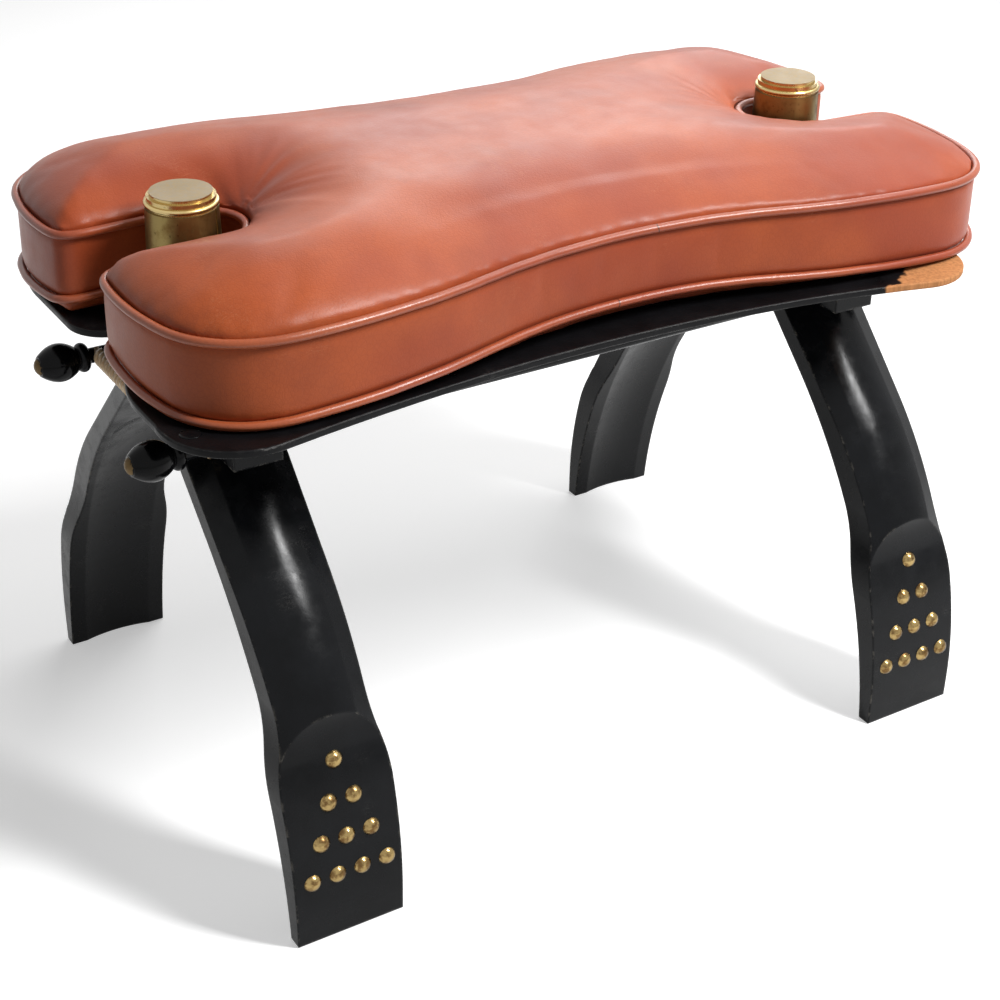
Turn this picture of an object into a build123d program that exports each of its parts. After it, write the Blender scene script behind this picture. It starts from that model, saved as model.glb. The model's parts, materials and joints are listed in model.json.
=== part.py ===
from build123d import *
from math import asin, atan2, cos, pi, radians, sin, sqrt
import os

os.makedirs("parts", exist_ok=True)

# Camel saddle stool. X runs along the length, +Y is the far side, Z is up and 0 is the floor.
# Lengths are in millimetres. The origin is on the floor, midway between the four feet.

# Stance of the two end frames
foot_span = 530
foot_spread = 392
leg_straight = 15
leg_bend_radius = 280
leg_splay = 45
leg_board_gap = 0.5
leg_run_past = 60

# Leg width, seen from the side of the stool
foot_width = 74.4
sole_width = 73
leg_waist_width = 60
leg_top_width = 67
shoulder_bottom = 97
shoulder_top = 152

# Leg thickness: bevels rise to a ridge on each side of a crown, the inner face is one long bend
leg_edge = 12.2
sole_edge = 10
inner_bend_radius = 372
leg_lip = 0.8
leg_ridge_inset = 14
leg_ridge_height = 7
leg_crown = 10.5
bevel_width = 65

# Flat outer face of the foot and the hollow on the inner face
foot_flat_top = 119
foot_flat_run_out = 52
foot_flat_reach = 50
hollow_width = 50
hollow_depth = 3.4
hollow_top = 240

# Studs on the feet
stud_radius = 5.8
stud_height = 3.6
stud_shank_radius = 1.1
stud_shank_length = 7
stud_pitch = 17
stud_row_step = 24.2
stud_first_row = 44.5
stud_rows = 4
stud_shift = 1.2

# Seat boards
board_top = 337
board_thickness = 4.8
board_gap = 6
near_board_offset = 30
far_board_offset = 23
board_waist = 155
board_flank_x = 105
board_flank_y = 160
board_end = 272
board_lobe_x = 218
board_lobe_y = 175.6
board_corner = 122
board_inner_round = 14
near_left_round = 95
near_right_reach = 12
near_right_lobe_x = 237
near_right_lobe_y = 184
near_right_corner = 140
far_left_lobe_x = 190
far_left_lobe_y = 165
far_left_corner = 85
far_left_round = 26
board_edge_round = 1.2
horn_room = 1.6

# Button let into the near board
button_radius = 6.4
button_height = 1.4
button_pin_radius = 1.6
button_pin_length = 3.6
button_end_inset = 13
button_side_inset = 34.6

# Wedge blocks under the boards and the screws through them
block_thickness = 32
block_inner = 27
block_past_rod = 17
block_below_rod = 11.6
screw_y = 52
screw_head_radius = 4.5
screw_head_depth = 2.8
screw_shank_radius = 2
screw_length = 50

# Horn posts and their brass caps
horn_base_radius = 23
horn_top_radius = 21
horn_reach = 72
dowel_radius = 7
dowel_above = 30
dowel_below = 18
sleeve_wall = 0.95
sleeve_rise = 2.5
sleeve_slit = 1.4
sleeve_slit_bearing = -49
cap_height = 9.4
cap_disc_radius = 18.9
cap_step_radius = 20.7
cap_rim_radius = 22.6
cap_step_drop = 2.3
cap_rim_drop = 5
cap_rim_height = 3
tack_radius = 1.9
tack_head_height = 0.9
tack_shank_radius = 0.7
tack_length = 7
tack_rise = 7
tack_bearing = 131

# Rods, finials and end bars
rod_radius = 5
rod_leg_gap = 9.6
rod_drop = 43.6
rod_end_share = 0.58
finial_inner_end = 268.8
finial_tip = 304
finial_collar_radius = 9.6
finial_collar_width = 7
finial_neck_radius = 7.4
finial_body_radius = 12.3
finial_body_share = 0.4
finial_ring_radius = 6.6
finial_ring_width = 3.2
finial_ring_step = 0.9
bar_core_radius = 3.1
bar_x = 262.3
bar_rise = 2.4
tenon_radius = 2.1
tenon_length = 3.6
cane_radius = 1.5
bar_pitch = 5.3
bar_cane_end = 6.4
neck_cane_radius = 1.05
neck_turns = 3
neck_pitch = 2.7
neck_middle = 249.6
groove_room = 0.4

# Cushion outline, a quarter of a bow tie
cushion_waist = 135
cushion_flank_x = 105
cushion_flank_y = 148.2
cushion_lobe_x = 233.2
cushion_lobe_y = 161.1
cushion_corner_x = 289.5
cushion_corner_y = 115.2
cushion_end_x = 294
cushion_end_y = 46
notch_half_width = 30.5
notch_centre = 222
notch_corner_x = 279.5
notch_corner_radius = 15
notch_reach = 40
cushion_shift_x = 1.5
cushion_shift_y = -1.5

# Cushion heights and roundings
rest_gap = 0.3
bottom_seam_rise = 8.5
boxing_height = 46.5
crown_steps = ((5, 6.5), (13, 11.5), (26, 17), (42, 22))
crown_height = 29
crown_cross_radius = 1100
crown_long_radius = 8000
heel_radius = 7.6
cushion_flare = 0.6
notch_roll_height = 12
notch_roll = 21
notch_roll_shares = (0, 0.08, 0.3, 0.64, 1)
leather = 1.5
core_gap = 0.3
piping_radius = 2.7
piping_outset = 0.5

# Fits
running_gap = 0.05

horn_x = (foot_span - foot_width) / 2
foot_face = foot_spread / 2
board_bottom = board_top - board_thickness
leg_top_height = board_bottom - leg_board_gap
horn_top = board_top + horn_reach
cap_top = horn_top + cap_height
dowel_top = leg_top_height + dowel_above
dowel_bottom = leg_top_height - dowel_below
sleeve_bottom = board_top + sleeve_rise
tack_height = sleeve_bottom + tack_rise
rod_z = board_bottom - rod_drop
bar_z = rod_z + bar_rise
block_bottom = rod_z - block_below_rod
seam_bottom = board_top + bottom_seam_rise
seam_top = seam_bottom + boxing_height
cushion_top = seam_top + crown_height
bend_centre_y = foot_face - leg_bend_radius
leg_height = leg_top_height + leg_run_past
ends = (("left", -1), ("right", 1))
sides = (("near", -1), ("far", 1))


def export(shape, node):
    export_step(shape, "parts/" + node + ".step")


def group(shapes):
    return Compound(children=[solid for shape in shapes for solid in shape.solids()])


# A far piece as it is, or mirrored to the near side
def turned(shape, side):
    return shape if side > 0 else mirror(shape, Plane.XZ)


def upright(radius, bottom, top, x=0, y=0):
    return Pos(x, y, bottom) * extrude(Circle(radius), top - bottom)


def lengthwise(radius, start, stop, y, z):
    return Pos(start, y, z) * Rot(0, 90, 0) * extrude(Circle(radius), stop - start)


def crosswise(radius, start, stop, x, z):
    return Pos(x, start, z) * Rot(-90, 0, 0) * extrude(Circle(radius), stop - start)


def on_circle(centre, radius, angle):
    return centre[0] + radius * cos(angle), centre[1] + radius * sin(angle)


# The far leg's long lines, drawn as Y and Z: the outer edge line and the inner face
splay = radians(leg_splay)
bend_centre = (bend_centre_y, leg_straight)
bend_top = on_circle(bend_centre, leg_bend_radius, splay)
edge_run = (bend_top[1] - leg_height) / cos(splay)
edge_top = (bend_top[0] + edge_run * sin(splay), leg_height)
inner_line_reach = (bend_top[0] - leg_edge * cos(splay), bend_top[1] - leg_edge * sin(splay))
sole_inner = foot_face - sole_edge
sole_depth = (inner_line_reach[0] - sole_inner) * cos(splay) + inner_line_reach[1] * sin(splay)
sole_run = sqrt(2 * inner_bend_radius * sole_depth - sole_depth * sole_depth)
inner_tangent = (sole_inner + sole_depth * cos(splay) - sole_run * sin(splay),
                 sole_depth * sin(splay) + sole_run * cos(splay))
inner_centre = (inner_tangent[0] - inner_bend_radius * cos(splay),
                inner_tangent[1] - inner_bend_radius * sin(splay))
sole_turn = atan2(-inner_centre[1], sole_inner - inner_centre[0])
inner_middle = on_circle(inner_centre, inner_bend_radius, (sole_turn + splay) / 2)
inner_top = (inner_tangent[0] - (leg_height - inner_tangent[1]) * sin(splay) / cos(splay), leg_height)

# The rods run along the crowns of the legs, clear of them, and the blocks and bars follow the rods
rod_depth = leg_lip + leg_crown + rod_radius + rod_leg_gap
rod_y = bend_top[0] + (rod_depth - (rod_z - bend_top[1]) * sin(splay)) / cos(splay)
block_outer = rod_y + block_past_rod
bar_turns = round(2 * (rod_y - rod_radius - bar_cane_end) / bar_pitch)


# Section of the blank: a wide flange below the lip, then bevels, ridges and crown
def leg_section():
    flange = foot_width
    bevel = bevel_width / 2
    ridge = bevel - leg_ridge_inset
    ridge_height = leg_lip + leg_ridge_height
    crown = ThreePointArc((-ridge, ridge_height), (0, leg_lip + leg_crown), (ridge, ridge_height))
    rest = Polyline((ridge, ridge_height), (bevel, leg_lip), (flange, leg_lip), (flange, -foot_width),
                    (-flange, -foot_width), (-flange, leg_lip), (-bevel, leg_lip), (-ridge, ridge_height))
    return make_face([crown, *rest.edges()])


def leg_blank():
    bend_middle = on_circle(bend_centre, leg_bend_radius, splay / 2)
    low = Line((0, foot_face, -leg_straight), (0, foot_face, leg_straight))
    bend = ThreePointArc((0, foot_face, leg_straight), (0, *bend_middle), (0, *bend_top))
    high = Line((0, *bend_top), (0, *edge_top))
    start = Plane(origin=low @ 0, x_dir=(1, 0, 0), z_dir=(0, 0, 1))
    return sweep(start * leg_section(), path=Wire([*low.edges(), *bend.edges(), *high.edges()]))


# Side view of the leg: all that lies outside the inner face, above the floor and below the boards
def leg_side():
    inner = ThreePointArc((sole_inner, 0), inner_middle, inner_tangent)
    rest = Polyline(inner_tangent, inner_top, (foot_spread, leg_height), (foot_spread, 0), (sole_inner, 0))
    side = extrude(Plane.YZ * make_face([inner, *rest.edges()]), foot_width, both=True)
    level = Pos(0, foot_spread / 2, leg_top_height / 2) * Box(foot_spread, foot_spread, leg_top_height)
    return side & level


# Front view of the leg: sole, shoulders, waist and the widening top
def leg_front():
    shoulder_step = (foot_width - leg_waist_width) / 4
    shoulder_middle = (shoulder_bottom + shoulder_top) / 2
    half_foot = foot_width / 2
    half_waist = leg_waist_width / 2
    outline = Polyline((0, 0), (sole_width / 2, 0), (half_foot, shoulder_bottom))
    lower = TangentArc((half_foot, shoulder_bottom), (half_foot - shoulder_step, shoulder_middle),
                       tangent=(0, 1))
    upper = TangentArc(lower @ 1, (half_waist, shoulder_top), tangent=lower % 1)
    close = Polyline((half_waist, shoulder_top), (leg_top_width / 2, leg_top_height),
                     (0, leg_top_height), (0, 0))
    half = make_face([*outline.edges(), *lower.edges(), *upper.edges(), *close.edges()])
    face = half + mirror(half, Plane.YZ)
    return extrude(Plane.XZ * face, -foot_spread)


# Wood taken off the foot's outer face, ending in a sweep that leaves an arch on the crown
def foot_flat_cut():
    flat_turn = (foot_flat_top - leg_straight) / leg_bend_radius
    run_turn = foot_flat_reach / foot_flat_run_out
    run_centre = on_circle(bend_centre, leg_bend_radius + foot_flat_run_out, flat_turn)
    flat_middle = on_circle(bend_centre, leg_bend_radius, flat_turn / 2)
    flat_end = on_circle(bend_centre, leg_bend_radius, flat_turn)
    run_middle = on_circle(run_centre, -foot_flat_run_out, flat_turn - run_turn / 2)
    run_end = on_circle(run_centre, -foot_flat_run_out, flat_turn - run_turn)
    face = ThreePointArc((foot_face, leg_straight), flat_middle, flat_end)
    run_out = ThreePointArc(flat_end, run_middle, run_end)
    rest = Polyline(run_end, (foot_spread, run_end[1]), (foot_spread, -foot_width),
                    (foot_face, -foot_width), (foot_face, leg_straight))
    profile = make_face([*face.edges(), *run_out.edges(), *rest.edges()])
    return extrude(Plane.YZ * profile, foot_width, both=True)


# Round-bottomed hollow down the inner face, with a rounded top end
def hollow_cut():
    radius = (hollow_width * hollow_width / 4 + hollow_depth * hollow_depth) / (2 * hollow_depth)
    path_radius = inner_bend_radius + hollow_depth - radius
    end_height = hollow_top - hollow_width / 2 * cos(splay)
    end_turn = asin((end_height - inner_centre[1]) / inner_bend_radius)
    start_turn = -end_turn
    points = [on_circle(inner_centre, path_radius, turn) for turn in (start_turn, 0, end_turn)]
    path = ThreePointArc(*[(0, *point) for point in points])
    start = Plane(origin=path @ 0, x_dir=(1, 0, 0), z_dir=path % 0)
    return sweep(start * Circle(radius), path=path) + Pos(*(path @ 1)) * Sphere(radius)


# Places of the studs on a far foot's bend, in a triangle with its point up
def stud_places():
    places = []
    for row in range(stud_rows):
        height = stud_first_row + stud_row_step * (stud_rows - 1 - row)
        turn = asin((height - leg_straight) / leg_bend_radius)
        y, z = on_circle(bend_centre, leg_bend_radius, turn)
        for column in range(row + 1):
            x = stud_shift + (column - row / 2) * stud_pitch
            places.append(Plane(origin=(x, y, z), x_dir=(1, 0, 0), z_dir=(0, cos(turn), sin(turn))))
    return places


# A stud's head is a cap of a ball on a short shank
def make_stud():
    ball = (stud_radius * stud_radius + stud_height * stud_height) / (2 * stud_height)
    dome = Pos(0, 0, stud_height - ball) * Sphere(ball)
    head = dome & Pos(0, 0, ball) * Box(2 * ball, 2 * ball, 2 * ball)
    return head + Pos(0, 0, -stud_shank_length) * extrude(
        Circle(stud_shank_radius), stud_shank_length)


def stud_hole():
    depth = stud_shank_length + running_gap
    return Pos(0, 0, -depth) * extrude(Circle(stud_shank_radius + running_gap), depth + stud_height)


# A far leg about its own middle plane, with its stud holes
places = stud_places()
plain_leg = (leg_blank() & leg_side() & leg_front()) - foot_flat_cut() - hollow_cut()
plain_leg -= [place * stud_hole() for place in places]
stud = make_stud()
foot_studs = [(place * stud) - plain_leg for place in places]


# Half of a seat board to the right: a long soft waist, a lobe and rounded corners
def board_half(lobe_x=board_lobe_x, lobe_y=board_lobe_y, end_x=board_end, corner_y=board_corner,
               inner_round=board_inner_round):
    inner = board_gap / 2
    middle = Line((0, inner), (0, board_waist))
    waist = ThreePointArc((-board_flank_x, board_flank_y), (0, board_waist), (board_flank_x, board_flank_y))
    flank = TangentArc((board_flank_x, board_flank_y), (lobe_x, lobe_y), tangent=waist % 1)
    corner = TangentArc(flank @ 1, (end_x, corner_y), tangent=flank % 1)
    end = Polyline(corner @ 1, (end_x, inner), (0, inner))
    half_waist = waist.trim(0.5, 1)
    half = make_face([*middle.edges(), *half_waist.edges(), *flank.edges(), *corner.edges(), *end.edges()])
    inner_corner = half.vertices().filter_by(
        lambda v: abs(v.X - end_x) < running_gap and abs(v.Y - inner) < running_gap)
    return fillet(inner_corner, inner_round)


def make_board(shift, left_half, right_half):
    face = right_half + mirror(left_half, Plane.YZ)
    board = Pos(-shift, 0, board_bottom) * extrude(face, board_thickness)
    edges = board.edges().filter_by(Plane.XY)
    board = fillet(edges, board_edge_round)
    for _, end_side in ends:
        board -= upright(horn_base_radius + sleeve_wall + horn_room, board_bottom - board_thickness,
                         board_top + board_thickness, end_side * horn_x)
    return board


def make_button(gap=0):
    x = button_end_inset - near_board_offset - board_end
    y = -(board_lobe_y - button_side_inset)
    pin = upright(button_pin_radius + gap, board_top - button_pin_length - gap, board_top, x, y)
    if gap:
        return pin
    ball = (button_radius * button_radius + button_height * button_height) / (2 * button_height)
    dome = Pos(x, y, board_top + button_height - ball) * Sphere(ball)
    return (dome & Pos(x, y, board_top + ball) * Box(2 * ball, 2 * ball, 2 * ball)) + pin


# A screw with a sunk flat head, and the hole it sits in
def make_screw(x, y, gap=0):
    head = Pos(x, y, board_top - screw_head_depth) * Cone(
        screw_shank_radius + gap, screw_head_radius + gap, screw_head_depth,
        align=(Align.CENTER, Align.CENTER, Align.MIN))
    return head + upright(screw_shank_radius + gap, board_top - screw_length - gap,
                          board_top - screw_head_depth, x, y)


def make_block(end_side):
    middle = (block_inner + block_outer) / 2
    height = board_bottom - block_bottom
    return Pos(end_side * horn_x, middle, block_bottom + height / 2) * Box(
        block_thickness, block_outer - block_inner, height)


# Horn post, its dowel and its brass cap
def horn_radius(height):
    share = (height - leg_top_height) / (horn_top - leg_top_height)
    return horn_base_radius + (horn_top_radius - horn_base_radius) * share


def tapered(bottom, top, extra):
    low = horn_radius(bottom) + extra
    high = horn_radius(top) + extra
    return Pos(0, 0, bottom) * Cone(low, high, top - bottom, align=(Align.CENTER, Align.CENTER, Align.MIN))


def make_sleeve():
    outer = tapered(sleeve_bottom, horn_top, sleeve_wall + running_gap)
    sleeve = outer - tapered(sleeve_bottom, horn_top, running_gap)
    slit = Pos(horn_base_radius, 0, sleeve_bottom) * Box(
        horn_base_radius, sleeve_slit, horn_top - sleeve_bottom,
        align=(Align.CENTER, Align.CENTER, Align.MIN))
    return sleeve - Rot(0, 0, sleeve_slit_bearing) * slit


# Cap top: a plain disc, a step ring and a rolled rim
def make_cap_top():
    step = cap_top - cap_step_drop
    rim = cap_top - cap_rim_drop
    roll = cap_rim_height / 2
    disc_edge = cap_disc_radius
    lines = Polyline((0, horn_top), (0, cap_top), (disc_edge - running_gap, cap_top),
                     (disc_edge, step), (cap_step_radius, step), (cap_step_radius, rim))
    bulge = ThreePointArc((cap_step_radius, rim), (cap_rim_radius, rim - roll),
                          (cap_step_radius, rim - cap_rim_height))
    close = Polyline((cap_step_radius, rim - cap_rim_height), (cap_step_radius, horn_top), (0, horn_top))
    profile = make_face([*lines.edges(), *bulge.edges(), *close.edges()])
    return revolve(Plane.XZ * profile, Axis.Z)


def make_tack(gap=0):
    start = horn_radius(tack_height - tack_radius) + sleeve_wall + running_gap
    shank = Pos(start - tack_length, 0, tack_height) * Rot(0, 90, 0) * extrude(
        Circle(tack_shank_radius + gap), tack_length)
    if gap:
        return shank
    head = Pos(start, 0, tack_height) * Rot(0, 90, 0) * extrude(Circle(tack_radius), tack_head_height)
    return head + shank


def rod_end():
    return finial_inner_end + (finial_tip - finial_inner_end) * rod_end_share


# Finial: a collar, a swelling body and a worn end ring round a ball-shaped tip, bored for the rod.
# It is drawn as distance along X and radius.
def make_finial():
    collar_end = finial_inner_end + finial_collar_width
    ring_start = finial_tip - finial_ring_width
    body_middle = collar_end + (ring_start - collar_end) * finial_body_share
    collar = ThreePointArc((finial_inner_end, finial_neck_radius),
                           (finial_inner_end + finial_collar_width / 2, finial_collar_radius),
                           (collar_end, finial_neck_radius))
    swell = Spline((collar_end, finial_neck_radius), (body_middle, finial_body_radius),
                   (ring_start, finial_ring_radius))
    tip_radius = finial_ring_radius - finial_ring_step
    ball = (tip_radius * tip_radius + finial_ring_width * finial_ring_width) / (2 * finial_ring_width)
    tip_middle = on_circle((finial_tip - ball, 0), ball, asin(tip_radius / ball) / 2)
    tip = ThreePointArc((ring_start, tip_radius), tip_middle, (finial_tip, 0))
    bore = rod_radius + running_gap
    bore_end = rod_end() + running_gap
    back = Polyline((finial_tip, 0), (bore_end, 0), (bore_end, bore), (finial_inner_end, bore),
                    (finial_inner_end, finial_neck_radius))
    step = Line((ring_start, finial_ring_radius), (ring_start, tip_radius))
    pieces = (back, collar, swell, step, tip)
    profile = make_face([edge for piece in pieces for edge in piece.edges()])
    return revolve(Plane.XZ * profile, Axis.X)


def make_rod():
    return lengthwise(rod_radius, -rod_end(), rod_end(), rod_y, rod_z)


def make_bar():
    tenon_reach = rod_y - sqrt(rod_radius * rod_radius - bar_rise * bar_rise) + tenon_length
    core = crosswise(bar_core_radius, -rod_y, rod_y, bar_x, bar_z)
    for side in (-1, 1):
        core -= lengthwise(rod_radius, bar_x - finial_body_radius, bar_x + finial_body_radius,
                           side * rod_y, rod_z)
        core -= Pos(bar_x, side * (rod_y + rod_radius), bar_z) * Box(
            2 * rod_radius, 2 * rod_radius, 2 * rod_radius)
    return core + crosswise(tenon_radius, -tenon_reach, tenon_reach, bar_x, bar_z)


# Wound cane: one tube round a core, each half turn two arcs that meet smoothly
def winding(core_radius, tube_radius, turns, pitch):
    radius = core_radius + running_gap + tube_radius
    rise = pitch / (2 * pi)
    count = 2 * turns

    def point(angle):
        return Vector(radius * cos(angle), radius * sin(angle), rise * angle)

    def heading(angle):
        return Vector(-radius * sin(angle), radius * cos(angle), rise).normalized()

    edges = []
    start_line = Line(point(0) - heading(0) * 2 * tube_radius, point(0))
    edges += start_line.edges()
    for step in range(count):
        first, last = step * pi, (step + 1) * pi
        span = point(last) - point(first)
        sum_of_headings = heading(first) + heading(last)
        spread = 2 * (1 - heading(first).dot(heading(last)))
        along = span.dot(sum_of_headings)
        reach = (-along + sqrt(along * along + spread * span.dot(span))) / spread
        joint = (point(first) + heading(first) * reach + point(last) - heading(last) * reach) * 0.5
        one = TangentArc(point(first), joint, tangent=heading(first))
        two = TangentArc(joint, point(last), tangent=one % 1)
        edges += [*one.edges(), *two.edges()]
    last = count * pi
    edges += Line(point(last), point(last) + heading(last) * 2 * tube_radius).edges()
    path = Wire(edges)
    profile = Plane(origin=path @ 0, z_dir=path % 0) * Circle(tube_radius)
    tube = sweep(profile, path=path)
    samples = [path @ (index / (count * 24)) for index in range(count * 24 + 1)]
    apart = min((a - b).length for i, a in enumerate(samples) for b in samples[i + 24:])
    print("winding turns", turns, "least gap to itself", round(apart - 2 * tube_radius, 2))
    return Pos(0, 0, -rise * last / 2) * tube


# Cushion outline from above: a quarter drawn as smooth arcs, mirrored twice
def cushion_outline(grow):
    waist = ThreePointArc((-cushion_flank_x, cushion_flank_y), (0, cushion_waist),
                          (cushion_flank_x, cushion_flank_y))
    flank = TangentArc(waist @ 1, (cushion_lobe_x, cushion_lobe_y), tangent=waist % 1)
    corner = TangentArc(flank @ 1, (cushion_corner_x, cushion_corner_y), tangent=flank % 1)
    side = TangentArc(corner @ 1, (cushion_end_x, cushion_end_y), tangent=corner % 1)
    end = TangentArc(side @ 1, (cushion_end_x, -cushion_end_y), tangent=side % 1).trim(0, 0.5)
    half_waist = waist.trim(0.5, 1)
    axes = Polyline(end @ 1, (0, 0), (0, cushion_waist))
    pieces = (half_waist, flank, corner, side, end, axes)
    quarter = make_face([edge for piece in pieces for edge in piece.edges()])
    half = quarter + mirror(quarter, Plane.XZ)
    face = half + mirror(half, Plane.YZ)
    return offset(face, grow) if grow else face


# The notch round the left horn, wider by some growth, drawn past the cushion's end
def notch_outline(grow):
    half = notch_half_width + grow
    beyond = cushion_end_x + notch_reach
    far = half + notch_corner_radius
    outline = Polyline((notch_corner_x, half), (notch_centre, half))
    tip = ThreePointArc((notch_centre, half), (notch_centre - half * sin(pi / 4), half * cos(pi / 4)),
                        (notch_centre - half, 0))
    mouth = ThreePointArc((notch_corner_x, half),
                          (notch_corner_x + notch_corner_radius * sin(pi / 4),
                           far - notch_corner_radius * cos(pi / 4)),
                          (notch_corner_x + notch_corner_radius, far))
    rest = Polyline((notch_corner_x + notch_corner_radius, far), (beyond, far), (beyond, 0),
                    (notch_centre - half, 0))
    half_face = make_face([*outline.edges(), *tip.edges(), *mouth.edges(), *rest.edges()])
    return half_face


def both_ends(half_cut):
    one = half_cut + mirror(half_cut, Plane.XZ)
    return one + mirror(one, Plane.YZ)


def notch_cut(grow):
    bottom = board_bottom
    straight = Pos(0, 0, bottom) * extrude(notch_outline(grow), seam_top - bottom)
    sections = [Pos(0, 0, seam_top + notch_roll_height * index) * notch_outline(grow + notch_roll * share)
                for index, share in enumerate(notch_roll_shares)]
    return both_ends(straight + loft(sections, ruled=True))


# The crown rises from the top seam in slopes that ease off, up to a gently domed top
def cushion_crown(inset):
    sections = [Pos(0, 0, seam_top) * cushion_outline(-inset)]
    for inward, rise in crown_steps:
        sections.append(Pos(0, 0, seam_top + rise - inset) * cushion_outline(-inset - inward))
    slopes = [loft([low, high], ruled=True) for low, high in zip(sections, sections[1:])]
    dome = Pos(0, 0, cushion_top - inset - crown_long_radius) * Rot(90, 0, 0) * Torus(
        crown_long_radius - crown_cross_radius, crown_cross_radius)
    cap = extrude(sections[-1], crown_height)
    return (slopes[0] + slopes[1:] + cap) & dome


# The stuffed body shrunk by some inset, between two heights
def cushion_body(inset):
    low = board_top + rest_gap + inset
    heel = extrude(Pos(0, 0, low) * cushion_outline(cushion_flare - inset), seam_bottom - low)
    heel = fillet(heel.edges().group_by(Axis.Z)[0], heel_radius - inset)
    middle = loft([Pos(0, 0, seam_bottom) * cushion_outline(cushion_flare - inset),
                   Pos(0, 0, seam_top) * cushion_outline(-inset)], ruled=True)
    return heel, middle, cushion_crown(inset)


def cushion_solid(inset):
    heel, middle, crown = cushion_body(inset)
    return heel + middle + crown - notch_cut(inset)


# Piping is a round cord that runs along a seam and round both notches
def piping(height, grow):
    half = notch_half_width - piping_outset
    slot = Pos(notch_centre, 0, 0) * Circle(half)
    slot += Pos(notch_centre, 0, 0) * Rectangle(cushion_end_x, 2 * half, align=(Align.MIN, Align.CENTER))
    face = cushion_outline(grow + piping_outset) - slot - mirror(slot, Plane.YZ)
    mouth_reach = notch_half_width + piping_radius
    corners = face.vertices().filter_by(lambda v: abs(v.X) > notch_corner_x and abs(v.Y) < mouth_reach)
    face = fillet(corners, notch_corner_radius)
    path = (Pos(0, 0, height) * face).face().outer_wire()
    profile = Plane(origin=path @ 0, z_dir=path % 0) * Circle(piping_radius)
    return sweep(profile, path=path)


# The leather skin of one part of the body: the outside less the same part shrunk by the leather
def panel(outer, inner, pipes):
    skin = (outer - notch_cut(0)) - (inner - notch_cut(leather))
    for pipe in pipes:
        skin -= pipe
    return skin


heel, middle, crown = cushion_body(0)
inner_heel, inner_middle, inner_crown = cushion_body(leather)
top_piping = piping(seam_top, 0)
bottom_piping = piping(seam_bottom, cushion_flare)
print("piping", top_piping.is_valid, bottom_piping.is_valid)
parts = {
    "cushion_core": cushion_solid(leather + core_gap) - top_piping - bottom_piping,
    "cushion_top_panel": panel(crown, inner_crown, [top_piping]),
    "cushion_boxing": panel(middle, inner_middle, [top_piping, bottom_piping]),
    "cushion_bottom_panel": panel(heel, inner_heel, [bottom_piping]),
    "top_piping": top_piping,
    "bottom_piping": bottom_piping,
}

# Rods, bars and their windings
rod = make_rod()
bar = make_bar()
bar_winding = Rot(90, 0, 0) * winding(bar_core_radius, cane_radius, bar_turns, bar_pitch)
neck_winding = Rot(0, 90, 0) * winding(rod_radius, neck_cane_radius, neck_turns, neck_pitch)
finial = make_finial()
tenon_hole = crosswise(tenon_radius + running_gap, rod_y - rod_radius - running_gap,
                       rod_y - sqrt(rod_radius * rod_radius - bar_rise * bar_rise)
                       + tenon_length + running_gap, bar_x, bar_z)
rod -= tenon_hole + mirror(tenon_hole, Plane.YZ)

near_left_half = board_half(inner_round=near_left_round)
near_right_half = board_half(near_right_lobe_x, near_right_lobe_y, board_end + near_right_reach,
                             near_right_corner)
far_left_half = board_half(far_left_lobe_x, far_left_lobe_y, corner_y=far_left_corner,
                           inner_round=far_left_round)
boards = {"near": make_board(near_board_offset, near_left_half, near_right_half),
          "far": make_board(far_board_offset, far_left_half, board_half())}
for side_name, side in sides:
    board = boards[side_name]
    parts[side_name + "_rod"] = turned(rod, side)
    screws = []
    for end_name, end in ends:
        name = side_name + "_" + end_name
        screws.append(make_screw(end * horn_x, screw_y))
        hole = make_screw(end * horn_x, screw_y, running_gap)
        board -= hole
        groove = crosswise(bar_core_radius + 2 * cane_radius + groove_room, -rod_y, rod_y,
                           end * bar_x, bar_z)
        dowel_hole = upright(dowel_radius + running_gap, dowel_bottom, dowel_top, end * horn_x)
        leg = Pos(end * horn_x, 0, 0) * plain_leg
        rod_hole = lengthwise(rod_radius + running_gap, end * horn_x - foot_width,
                              end * horn_x + foot_width, rod_y, rod_z)
        neck_half = neck_turns * neck_pitch / 2 + 2 * neck_cane_radius
        neck_room = lengthwise(rod_radius + 2 * neck_cane_radius + groove_room,
                               end * neck_middle - neck_half, end * neck_middle + neck_half, rod_y, rod_z)
        block = make_block(end) - leg - rod_hole - hole
        leg = leg - groove - dowel_hole - hole - rod_hole - neck_room
        parts[name + "_leg"] = turned(leg, side)
        parts[name + "_block"] = turned(block, side)
        parts[name + "_studs"] = turned(Pos(end * horn_x, 0, 0) * group(foot_studs), side)
        aimed = finial if end > 0 else mirror(finial, Plane.YZ)
        parts[name + "_finial"] = turned(Pos(0, rod_y, rod_z) * aimed, side)
        wound = neck_winding if end > 0 else mirror(neck_winding, Plane.YZ)
        parts[name + "_neck_winding"] = turned(Pos(end * neck_middle, rod_y, rod_z) * wound, side)
    board = turned(board, side)
    if side < 0:
        board -= make_button(running_gap)
    parts[side_name + "_seat_board"] = board
    parts[side_name + "_board_screws"] = turned(group(screws), side)

parts["near_board_button"] = make_button()

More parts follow.
